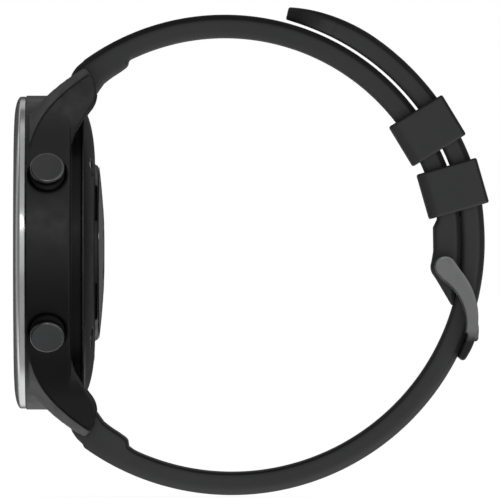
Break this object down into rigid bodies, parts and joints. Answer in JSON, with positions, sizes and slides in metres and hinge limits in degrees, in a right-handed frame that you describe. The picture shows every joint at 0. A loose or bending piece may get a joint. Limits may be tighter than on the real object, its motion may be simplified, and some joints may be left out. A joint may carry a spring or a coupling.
{
  "type": "gps running watch",
  "caption": "Round sports watch on a closed rubber strap, with steel bezel, push buttons, pin buckle, keepers and a domed rear sensor.",
  "frame": {"origin": "centre of the cover glass's flat outer face, on the dial axis", "axes": "-X out of the dial, +X towards the wrist, +Z towards 12 o'clock, -Y towards the push buttons at 2 and 4 o'clock"},
  "size_m": [0.0694, 0.0458, 0.0713],
  "materials": {
    "case_polymer": "fine-grained satin fibre-reinforced polymer",
    "rear_polymer": "smooth satin polymer",
    "polished_steel": "polished stainless steel",
    "cover_glass": "black-printed scratch-resistant glass over the display",
    "button_metal": "dark satin steel",
    "buckle_metal": "bead-blasted grey steel",
    "strap_rubber": "matte silicone",
    "seal_rubber": "nitrile seal",
    "bar_steel": "turned stainless steel",
    "frame_plastic": "moulded black plastic",
    "circuit_board": "green solder mask",
    "shield_metal": "tinned sheet",
    "battery_foil": "laminated foil",
    "contact_gold": "gold-plated",
    "flex_film": "amber polyimide film",
    "sensor_glass": "dark optical window"
  },
  "bodies": {
    "case": {"case_body": "case_polymer", "bezel_ring": "polished_steel", "lens_glass": "cover_glass", "lens_seal": "seal_rubber", "display_panel": "frame_plastic", "display_flex": "flex_film", "antenna_ring": "contact_gold", "inner_frame": "frame_plastic", "main_board": "circuit_board", "board_shield": "shield_metal", "battery": "battery_foil", "motor_can": "shield_metal", "sensor_flex": "flex_film", "rear_seal": "seal_rubber", "rear_cover": "rear_polymer", "sensor_ring": "rear_polymer", "sensor_window": "sensor_glass", "sensor_board": "circuit_board", "sensor_led": "contact_gold", "photodiode_upper": "frame_plastic", "photodiode_lower": "frame_plastic", "rear_screw_1": "bar_steel", "rear_screw_2": "bar_steel", "rear_screw_3": "bar_steel", "rear_screw_4": "bar_steel", "charge_contact_1": "contact_gold", "charge_contact_2": "contact_gold", "button_seal_upper": "seal_rubber", "button_seal_lower": "seal_rubber", "button_switch_upper": "frame_plastic", "button_switch_lower": "frame_plastic"},
    "button_upper_body": {"button_upper": "button_metal", "button_clip_upper": "bar_steel"},
    "button_lower_body": {"button_lower": "button_metal", "button_clip_lower": "bar_steel"},
    "motor_rotor": {"motor_weight": "bar_steel"},
    "strap_loop": {"buckle_strap": "strap_rubber", "tip_strap": "strap_rubber", "upper_bar_tube": "bar_steel", "upper_bar_spring": "bar_steel", "lower_bar_tube": "bar_steel", "lower_bar_spring": "bar_steel", "buckle_pin": "bar_steel"},
    "upper_plunger_left": {"upper_bar_plunger_left": "bar_steel"},
    "upper_plunger_right": {"upper_bar_plunger_right": "bar_steel"},
    "lower_plunger_left": {"lower_bar_plunger_left": "bar_steel"},
    "lower_plunger_right": {"lower_bar_plunger_right": "bar_steel"},
    "buckle": {"buckle_frame": "buckle_metal"},
    "tongue": {"buckle_tongue": "buckle_metal"},
    "sliding_keeper": {"keeper_sliding": "strap_rubber"},
    "fixed_keeper": {"keeper_fixed": "strap_rubber"}
  },
  "joints": [
    {"name": "button_upper_press", "type": "slide", "parent": "case", "child": "button_upper_body", "axis": [0, 0.866, -0.5], "range_m": [0, 0.0005], "stiffness_N_per_m": 500},
    {"name": "button_lower_press", "type": "slide", "parent": "case", "child": "button_lower_body", "axis": [0, 0.866, 0.5], "range_m": [0, 0.0005], "stiffness_N_per_m": 500},
    {"name": "motor_spin", "type": "hinge", "parent": "case", "child": "motor_rotor", "pos_m": [0.006, 0, -0.0142], "axis": [1, 0, 0], "continuous": true},
    {"name": "strap_swing", "type": "hinge", "parent": "case", "child": "strap_loop", "pos_m": [0.0103, 0, 0.0246], "axis": [0, -1, 0], "range_deg": [0, 75]},
    {"name": "upper_bar_release_right", "type": "slide", "parent": "strap_loop", "child": "upper_plunger_right", "axis": [0, 1, 0], "range_m": [0, 0.00125], "stiffness_N_per_m": 25},
    {"name": "upper_bar_release_left", "type": "slide", "parent": "strap_loop", "child": "upper_plunger_left", "axis": [0, -1, 0], "range_m": [0, 0.00125], "stiffness_N_per_m": 25},
    {"name": "lower_bar_latch_right", "type": "slide", "parent": "strap_loop", "child": "lower_plunger_right", "axis": [0, -1, 0], "range_m": [0, 0.00125]},
    {"name": "lower_bar_latch_left", "type": "slide", "parent": "strap_loop", "child": "lower_plunger_left", "axis": [0, 1, 0], "range_m": [0, 0.00125]},
    {"name": "buckle_pivot", "type": "hinge", "parent": "strap_loop", "child": "buckle", "pos_m": [0.0629, 0, -0.0021], "axis": [0, -1, 0], "range_deg": [0, 5]},
    {"name": "tongue_pivot", "type": "hinge", "parent": "buckle", "child": "tongue", "pos_m": [0.0629, 0, -0.0021], "axis": [0, -1, 0], "range_deg": [0, 3]},
    {"name": "sliding_keeper_slide", "type": "hinge", "parent": "strap_loop", "child": "sliding_keeper", "pos_m": [0.03075, 0, -0.0002], "axis": [0, -1, 0], "range_deg": [-2, 20]},
    {"name": "fixed_keeper_slide", "type": "hinge", "parent": "strap_loop", "child": "fixed_keeper", "pos_m": [0.03075, 0, -0.0002], "axis": [0, -1, 0], "range_deg": [0, 2]}
  ],
  "couplings": [
    {"joint": "upper_bar_release_left", "follows": "upper_bar_release_right", "ratio": 1},
    {"joint": "lower_bar_latch_left", "follows": "lower_bar_latch_right", "ratio": 1}
  ]
}
